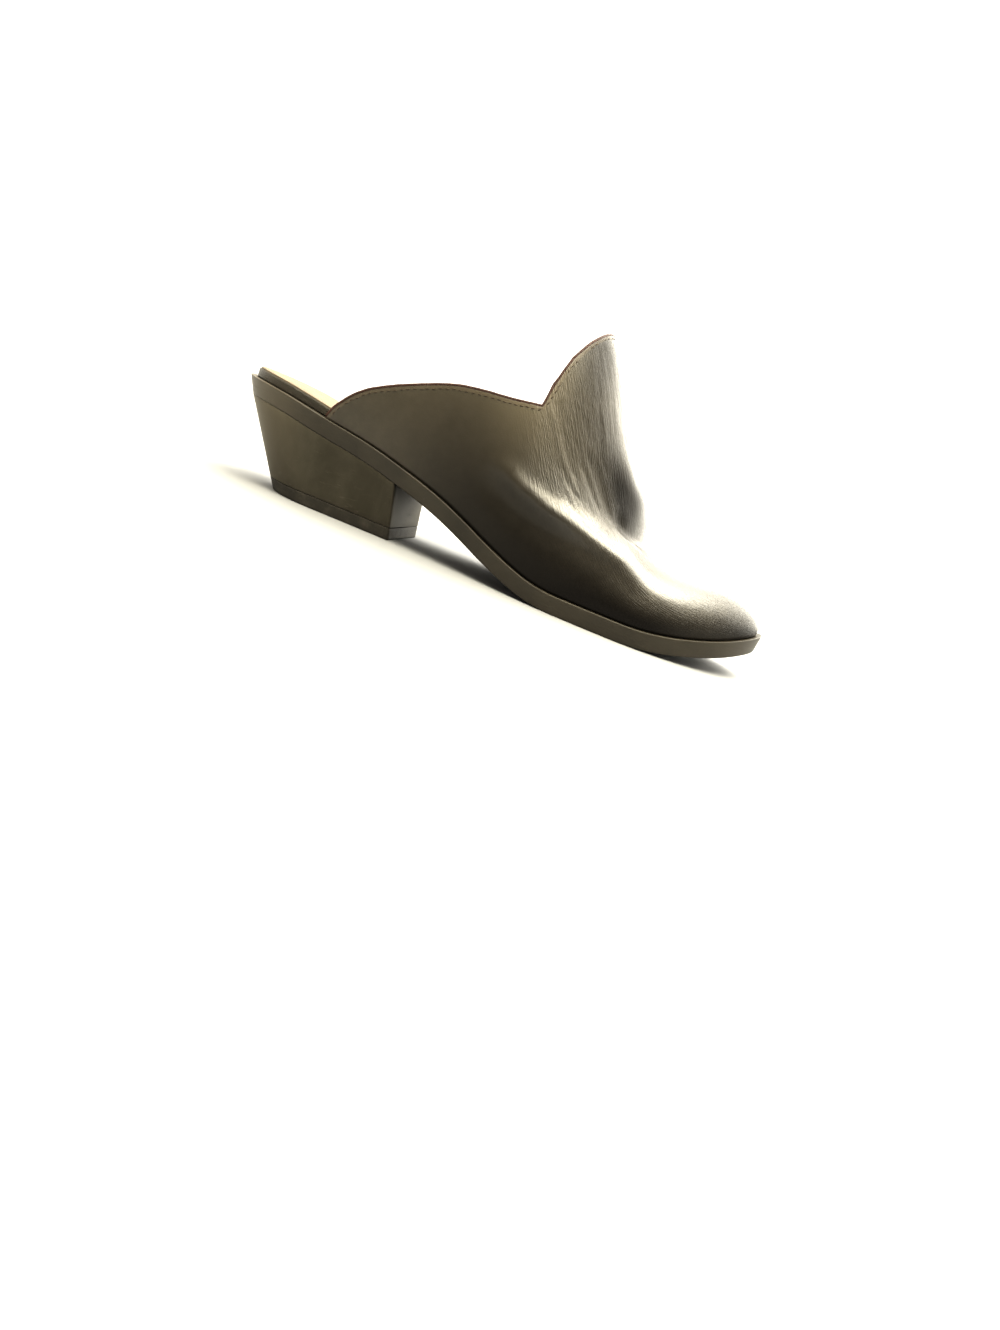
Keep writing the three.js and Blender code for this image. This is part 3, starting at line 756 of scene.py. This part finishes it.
def plain_leather(name, tones, roughness):
    """Leather or leather board with fine grain and soft colour patches."""
    g = Graph(name)
    patches = g.noise(55.0, detail=4.0, roughness=0.6)
    fine = g.noise(900.0, detail=4.0, roughness=0.65)
    pore = tuple(0.6 * c for c in tones[0])
    color = g.blend(g.times(fine, 0.3), g.patched(patches, tones), pore)
    height = g.plus(g.grain(1500.0, full=0.4), fine, 0.6)
    return g.finish(color, g.plus(roughness - 0.09, patches, 0.18), height, bump=0.00015, strength=0.8)


def sole_edge():
    """Edge-painted sole: faint lengthwise strokes of paint, small nicks and painted light at the back."""
    g = Graph("outsole_edge")
    strokes = g.noise(60.0, detail=4.0, roughness=0.6, distortion=0.3, stretch=(0.5, 0.5, 14.0))
    patches = g.noise(28.0, roughness=0.6)
    nicks = g.ramp(g.noise(520.0, detail=5.0, roughness=0.75), 0.62, 0.78)
    color = g.blend(g.times(nicks, 0.35), g.patched(patches, SOLE), SOLE_NICK)
    height = g.plus(g.times(strokes, 0.5), nicks, -0.6)
    # Painted light at the back.
    return g.finish(g.painted_back_light(color, 0.60), g.plus(0.33, strokes, 0.2), height, bump=0.00018, strength=0.7)


def heel_surface():
    """Satin heel cover: lacquer over a smooth block, with faint smears, scuffs low down, fine scratches and
    painted light at the back."""
    g = Graph("heel_cover")
    smears = g.noise(40.0, detail=5.0, roughness=0.65, distortion=0.5, stretch=(1.2, 1.2, 0.6))
    scuffs = g.noise(150.0, detail=6.0, roughness=0.75, distortion=0.8, stretch=(0.5, 0.5, 2.2))
    scuffs = g.ramp(scuffs, 0.56, 0.74)
    scratches = g.ramp(g.noise(900.0, roughness=0.8, stretch=(0.12, 0.12, 1.0)), 0.66, 0.72)
    worn = g.times(scuffs, g.ramp(g.along("Z"), *SCUFF_REACH, 1.0, 0.15))
    color = g.blend(g.ramp(smears, 0.35, 0.7), *HEEL)
    color = g.blend(g.times(worn, 0.45), color, HEEL_SCUFF)
    color = g.blend(g.times(scratches, 0.25), color, HEEL_SCRATCH)
    roughness = g.plus(g.plus(0.38, smears, 0.20), worn, 0.2)
    height = g.plus(g.times(scuffs, 0.35), scratches, -0.5)
    # Painted light at the back, fading towards the arch.
    return g.finish(g.painted_back_light(color, 0.80), roughness, height, bump=0.00012, strength=0.6,
                    Specular_IOR_Level=0.28, Specular_Tint=HEEL_SHEEN)


def tread_rubber():
    """Hard black rubber with a fine tooth and grey wear."""
    g = Graph("tread_rubber")
    tooth = g.noise(1400.0, roughness=0.7)
    wear = g.ramp(g.noise(120.0, detail=5.0, roughness=0.7), 0.4, 0.8)
    return g.finish(g.blend(wear, *RUBBER), g.plus(0.5, tooth, 0.2), tooth, bump=0.00012, strength=0.7)


def thread():
    g = Graph("thread")
    twist = g.noise(2600.0, detail=2.0)
    return g.finish(g.blend(twist, *THREAD), g.plus(0.5, twist, 0.2), twist, bump=0.0001, strength=0.6)


# ---- Pieces ----
def soft_spots(spots, x, turn):
    """Sum of a table's soft spots over the upper, held to 0..1."""
    return np.clip(sum(
        strength * np.exp(-(((x - at) / reach_x) ** 2) - ((turn - at_turn) / reach_turn) ** 2)
        for at, at_turn, reach_x, reach_turn, strength in zip(*spots.values())
    ), 0, 1)


def wrinkle_lay(x, side, turn):
    """Where the leather's noise is read, so that its lines run down the tongue and along the vamp."""
    lengthwise, crosswise, slant, slant_from, apart = 1.5, 110, 0.005, 150, 40
    return np.stack([lengthwise * x, crosswise * (turn + slant * (x - slant_from)), apart * side], axis=1)


def make_upper():
    sheet = upper_sheet(drop=0.0, detail=1.0)
    edge_distance = shape_upper(sheet)
    x, side, turn = sheet.places.T
    thick_share = np.sqrt(np.clip(edge_distance / EDGE_ROLL_WIDTH, 0, 1))
    wall = LEATHER_WALL * (1 - EDGE_THINNING + EDGE_THINNING * thick_share)
    body, source = thicken(sheet, 0.0, wall, LEATHER_FLOOR)
    # Soft spots for wrinkling, painted shade, painted light and gloss.
    spots = dict(wrinkle=WRINKLE_SPOTS, painted_shade=PAINTED_SHADE_SPOTS, painted_light=PAINTED_LIGHT_SPOTS, gloss=GLOSS_SPOTS)
    attributes = {name: soft_spots(rows, x, turn)[source] for name, rows in spots.items()}
    attributes["edge_distance"] = edge_distance[source]
    attributes["lay"] = wrinkle_lay(x, side, turn)[source]
    make_object("upper_leather", body, upper_leather(), "upper", attributes)
    return sheet


def make_lining():
    sheet = upper_sheet(drop=LINING_DROP, detail=0.5)
    shape_upper(sheet)
    body, _ = thicken(sheet, LINING_DEPTH, LINING_WALL, LINING_FLOOR)
    make_object("upper_lining", body, plain_leather("lining_leather", LINING, roughness=0.55))


def resample(line, step):
    """Points evenly spaced along a line, about step apart."""
    length = np.concatenate([[0], np.cumsum(np.linalg.norm(np.diff(line, axis=0), axis=1))])
    even = np.linspace(0, length[-1], int(length[-1] / step) + 1)
    return np.stack([np.interp(even, length, line[:, k]) for k in range(3)], axis=1)


def tangents(line):
    ahead = np.gradient(line, axis=0)
    return ahead / np.linalg.norm(ahead, axis=1, keepdims=True)


def beside_edge(tree, offset, step):
    """Points on the shaped upper that lie offset inside its top edge, with surface normals."""
    line_step, least_share = 0.5, 0.85
    line = resample(edge_line(), line_step)
    found = []
    for point, direction in zip(line, tangents(line)):
        normal = tree.find_nearest(Vector(point))[1]
        if normal is None:
            continue
        inward = Vector(direction).cross(normal).normalized()
        hit, surface_normal, _, _ = tree.find_nearest(Vector(point) + inward * offset)
        found.append((*hit, *surface_normal))
    found = np.array(found)
    clear, _ = distance_to(line, found[:, :3])
    found = found[clear > least_share * offset]
    keep = [0]
    for i in range(1, len(found)):
        if np.linalg.norm(found[i, :3] - found[keep[-1], :3]) >= step:
            keep.append(i)
    return found[keep, :3], found[keep, 3:]


def tube(line, radius, sides, normals):
    """Tube along a line, closed where its radius comes to 0. Returns points and faces."""
    ahead = tangents(line)
    out = normals - ahead * (normals * ahead).sum(1, keepdims=True)
    out /= np.linalg.norm(out, axis=1, keepdims=True)
    across_line = np.cross(ahead, out)
    angle = np.arange(sides) * 2 * math.pi / sides
    ring = np.cos(angle)[None, :, None] * across_line[:, None] + np.sin(angle)[None, :, None] * out[:, None]
    points = line[:, None] + radius[:, None, None] * ring
    return points.reshape(-1, 3), grid_faces(len(line), sides, wrap=True)


def rounded_radii(count, radius, ends):
    """Radius along a tube that closes with round ends of so many steps."""
    steps = np.minimum(np.arange(count), np.arange(count)[::-1])
    return radius * np.sqrt(1 - (1 - np.clip(steps / ends, 0, 1)) ** 2)


def make_binding(tree):
    """The narrow bead that finishes the folded top edge."""
    sides, end_steps, smoothing = 10, 3, 5
    line = resample(edge_line(), BINDING_STEP)
    normals = np.pad([tree.find_nearest(Vector(p))[1] for p in line], ((smoothing // 2,) * 2, (0, 0)), "edge")
    kernel = np.ones(smoothing) / smoothing
    normals = np.stack([np.convolve(normals[:, k], kernel, "valid") for k in range(3)], axis=1)
    normals /= np.linalg.norm(normals, axis=1, keepdims=True)
    line = line - normals * BINDING_DEPTH
    line[:, 2] = np.maximum(line[:, 2], seat(line[:, 0]) + BINDING_RADIUS + BINDING_CLEARANCE)
    body = weld(*tube(line, rounded_radii(len(line), BINDING_RADIUS, end_steps), sides, normals))
    bead = plain_leather("binding_leather", BINDING, roughness=0.42)
    make_object("upper_binding", body, bead)


def make_stitches(tree):
    """A row of stitches inside the top edge, each a short thread that dips at both ends."""
    stations, sides, end_steps = 7, 6, 2
    spots, normals = beside_edge(tree, STITCH_OFFSET, STITCH_PITCH)
    ahead = tangents(spots)
    share = np.linspace(-1, 1, stations)
    arch = THREAD_RADIUS * (0.55 - 1.1 * share ** 4)
    radii = rounded_radii(stations, THREAD_RADIUS, end_steps)
    points, faces, count = [], [], 0
    for spot, normal, direction in zip(spots[1:-1], normals[1:-1], ahead[1:-1]):
        line = spot + direction * (share * STITCH_LENGTH / 2)[:, None] + normal * arch[:, None]
        stitch_points, stitch_faces = tube(line, radii, sides, np.tile(normal, (stations, 1)))
        points.append(stitch_points)
        faces.append(stitch_faces + count)
        count += len(stitch_points)
    make_object("upper_stitches", weld(np.concatenate(points), np.concatenate(faces)), thread())


def undercut(x):
    """How far forward the sole's underside lies at the back."""
    return BACK_UNDERCUT * np.maximum(0, 1 - x / UNDERCUT_REACH) ** 2


def outsole_place(u, v, inset, level):
    down = 1 - level
    inset = inset + UNDER_INSET * down * np.abs(v).max()
    x = inset + (LENGTH - 2 * inset) * u
    shift = undercut(x) * down
    z = underside(x + shift) + SOLE_THICKNESS * level
    return np.stack([x + shift, across(x, v, inset), z], axis=1)


def make_outsole():
    stations = 200
    body = ring_body(outsole_place, side_loop(stations), rounded_profile(*SOLE_EDGES, SOLE_THICKNESS))
    make_object("outsole_body", body, sole_edge(), "outsole")


def insole_inset(x):
    """The insole's inset, larger where the upper's lasting lies round it."""
    start, end = INSET_CHANGE
    return BARE_INSET + (COVERED_INSET - BARE_INSET) * eased((x - start) / (end - start))


def insole_place(base, thickness, margin):
    """Places a layer of the insole whose underside is base above the seat and whose edge is drawn in by
    margin."""
    def place(u, v, inset, level):
        inset = inset + margin
        length = LENGTH - BARE_INSET - COVERED_INSET - 2 * inset
        x = BARE_INSET + inset + length * u
        y = across(x, v, insole_inset(x) + inset)
        return np.stack([x, y, seat(x) + base + thickness * level], axis=1)
    return place


def make_insole():
    loop = side_loop(150)
    board_height = INSOLE_THICKNESS - SOCK_THICKNESS
    place = insole_place(GAP, board_height, 0.0)
    body = ring_body(place, loop, rounded_profile(*BOARD_EDGES, board_height))
    board = plain_leather("insole_edge_leather", BOARD, roughness=0.42)
    make_object("insole_board", body, board, "insole")
    place = insole_place(GAP + board_height + SOCK_GAP, SOCK_THICKNESS, SOCK_INSET)
    body = ring_body(place, loop, rounded_profile(*SOCK_EDGES, SOCK_THICKNESS))
    make_object("insole_sock", body, plain_leather("sock_leather", SOCK, roughness=0.62))


def heel_loop(count, corner):
    """Loop round the heel: outer side from breast to back, inner side to the breast, and the breast, with
    its two corners rounded by corner mm."""
    corner_count, breast_count = 7, 25
    round_u, round_v = corner / BREAST_TOP, corner / HEEL_FOOT_HALF_WIDTH
    u = (1 - round_u) * (1 - np.cos(np.linspace(0, math.pi / 2, count)))
    angle = np.linspace(0, math.pi / 2, corner_count)[1:-1]
    corner_u, corner_v = 1 - round_u * (1 - np.sin(angle)), 1 - round_v * (1 - np.cos(angle))
    breast_v = np.linspace(1 - round_v, -(1 - round_v), breast_count)
    loop_u = np.concatenate([u[::-1], u[1:], corner_u, np.ones(breast_count), corner_u[::-1]])
    loop_v = np.concatenate([-np.ones(count), np.ones(count - 1), corner_v, breast_v, -corner_v[::-1]])
    return loop_u, loop_v


def outsole_under(x, v):
    """The edge of the outsole's underside."""
    shift = undercut(x)
    return x + shift, across(x, v, UNDER_INSET), underside(x + shift)


def heel_place(low, high_gap):
    """Places the heel's points: level 0 is low mm above the floor and level 1 is high_gap mm under the
    outsole, or a height above the floor if high_gap is negative."""
    def place(u, v, inset, level):
        draw = 1 - inset / HEEL_FOOT_HALF_WIDTH
        u = inset / BREAST_TOP + u * (1 - 2 * inset / BREAST_TOP)
        top_x, top_y, top_z = outsole_under(u * BREAST_TOP, v * draw)
        foot_x = HEEL_FOOT_BACK + (HEEL_FOOT_BREAST - HEEL_FOOT_BACK) * u
        rounding = round_end((HEEL_FOOT_BACK + HEEL_FOOT_ROUND - foot_x) / HEEL_FOOT_ROUND, HEEL_POINT)
        foot_y = v * draw * HEEL_FOOT_HALF_WIDTH * rounding
        high = top_z - high_gap if high_gap >= 0 else -high_gap
        z = low + (high - low) * level
        f = 1 - z / top_z
        return np.stack([top_x + (foot_x - top_x) * f, top_y + (foot_y - top_y) * f, z + 0 * u], axis=1)
    return place


def make_heel():
    loop, rings = heel_loop(60, HEEL_CORNER), 12
    place = heel_place(TOP_PIECE_THICKNESS + HEEL_FOOT_GAP, HEEL_TOP_GAP)
    body = ring_body(place, loop, rounded_profile(*HEEL_EDGES, HEEL_EDGE_SCALE, rings))
    make_object("heel_block", body, heel_surface(), "heel")
    place = heel_place(0.0, -TOP_PIECE_THICKNESS)
    body = ring_body(place, loop, rounded_profile(*TOP_PIECE_EDGES, TOP_PIECE_THICKNESS, rings))
    make_object("top_piece_rubber", body, tread_rubber(), "top_piece")


# ---- Stage ----
# Metres, degrees and watts. The camera's lens and sensor are in millimetres.
FLOOR_HALF_SIZE = 6.0
CAMERA = dict(at=(0.0733, -0.4559, 0.0590), yaw=-5.863, pitch=11.855, roll=21.766,
              lens=26.86, sensor=36.0, near=0.01)
FILL = dict(at=(-0.2, -1.3, 1.0), aim=(0.0, 0.0, 0.05), size=(1.2, 0.8), power=3.0, color=(1.0, 0.96, 0.84))
# The picture's gamma: below 1 it deepens the dark tones.
VIEW_GAMMA = 0.72
SURROUND_DIM = (0.52, 0.49, 0.42)
# Soft lobes of the surround: direction, where each starts and is full as a cosine, and its radiance.
SURROUND_LOBES = [
    # The pale wall on the inner side, which the camera sees.
    ((0.10, 1.00, 0.05), (-0.05, 0.45), (1.27, 1.24, 1.15)),
    # The window, high over the toe.
    ((0.54, 0.46, 0.70), (0.56, 0.84), (4.8, 4.65, 4.2)),
    # A smaller, brighter light overhead.
    ((0.08, -0.36, 0.93), (0.88, 0.96), (13.0, 12.3, 10.2)),
    # A soft light behind the heel.
    ((-1.0, 0.15, 0.15), (0.60, 0.95), (1.8, 1.7, 1.5)),
]


def make_camera():
    """Camera that looks along +Y, turned by yaw, tipped down by pitch and rolled, in degrees."""
    yaw, pitch, roll = (math.radians(CAMERA[key]) for key in ("yaw", "pitch", "roll"))
    forward = Vector((math.sin(yaw) * math.cos(pitch), math.cos(yaw) * math.cos(pitch), -math.sin(pitch)))
    level = Vector((math.cos(yaw), -math.sin(yaw), 0))
    upright = level.cross(forward)
    right = level * math.cos(roll) + upright * math.sin(roll)
    up = upright * math.cos(roll) - level * math.sin(roll)
    data = bpy.data.cameras.new("camera")
    data.lens = CAMERA["lens"]
    data.sensor_width = CAMERA["sensor"]
    data.clip_start = CAMERA["near"]
    camera = bpy.data.objects.new("camera", data)
    camera.matrix_world = Matrix((right, up, -forward)).transposed().to_4x4()
    camera.location = CAMERA["at"]
    bpy.context.scene.collection.objects.link(camera)
    bpy.context.scene.camera = camera


def make_floor():
    g = Graph("floor")
    tone = g.noise(6.0, detail=2.0)
    material = g.finish(g.blend(tone, *FLOOR), g.plus(0.7, tone, 0.1))
    half = FLOOR_HALF_SIZE
    mesh = bpy.data.meshes.new("floor")
    corners = [(-half, -half, 0), (half, -half, 0), (half, half, 0), (-half, half, 0)]
    mesh.from_pydata(corners, [], [(0, 1, 2, 3)])
    mesh.materials.append(material)
    floor = bpy.data.objects.new("floor", mesh)
    bpy.context.scene.collection.objects.link(floor)


def make_world():
    """Soft surround: a dim tone all round, with the lobes added to it."""
    world = bpy.data.worlds.new("surround")
    bpy.context.scene.world = world
    world.use_nodes = True
    nodes, links = world.node_tree.nodes, world.node_tree.links
    place = nodes.new("ShaderNodeTexCoord")
    total = nodes.new("ShaderNodeCombineColor")
    for key, value in zip(("Red", "Green", "Blue"), SURROUND_DIM):
        total.inputs[key].default_value = value
    radiance = total.outputs["Color"]
    for direction, (start, full), color in SURROUND_LOBES:
        toward = nodes.new("ShaderNodeVectorMath")
        toward.operation = "DOT_PRODUCT"
        toward.inputs[1].default_value = Vector(direction).normalized()
        links.new(place.outputs["Generated"], toward.inputs[0])
        ramp = nodes.new("ShaderNodeMapRange")
        ramp.interpolation_type = "SMOOTHSTEP"
        ramp.inputs["From Min"].default_value = start
        ramp.inputs["From Max"].default_value = full
        links.new(toward.outputs["Value"], ramp.inputs["Value"])
        lobe = nodes.new("ShaderNodeVectorMath")
        lobe.operation = "MULTIPLY_ADD"
        lobe.inputs[1].default_value = color
        links.new(ramp.outputs["Result"], lobe.inputs[0])
        links.new(radiance, lobe.inputs[2])
        radiance = lobe.outputs["Vector"]
    links.new(radiance, nodes["Background"].inputs["Color"])


def make_fill():
    data = bpy.data.lights.new("fill", "AREA")
    data.shape = "RECTANGLE"
    data.size, data.size_y = FILL["size"]
    data.energy = FILL["power"]
    data.color = FILL["color"]
    light = bpy.data.objects.new("fill", data)
    light.location = FILL["at"]
    light.rotation_mode = "QUATERNION"
    light.rotation_quaternion = (Vector(FILL["aim"]) - Vector(FILL["at"])).to_track_quat("-Z", "Y")
    bpy.context.scene.collection.objects.link(light)


def make_stage():
    make_floor()
    make_world()
    make_fill()
    view = bpy.context.scene.view_settings
    view.view_transform = "Standard"
    view.look = "None"
    view.exposure = 0.0
    view.gamma = VIEW_GAMMA


make_camera()
sheet = make_upper()
make_lining()
tree = BVHTree.FromPolygons(sheet.points.tolist(), sheet.clean_faces())
make_binding(tree)
make_stitches(tree)
make_outsole()
make_insole()
make_heel()
make_stage()
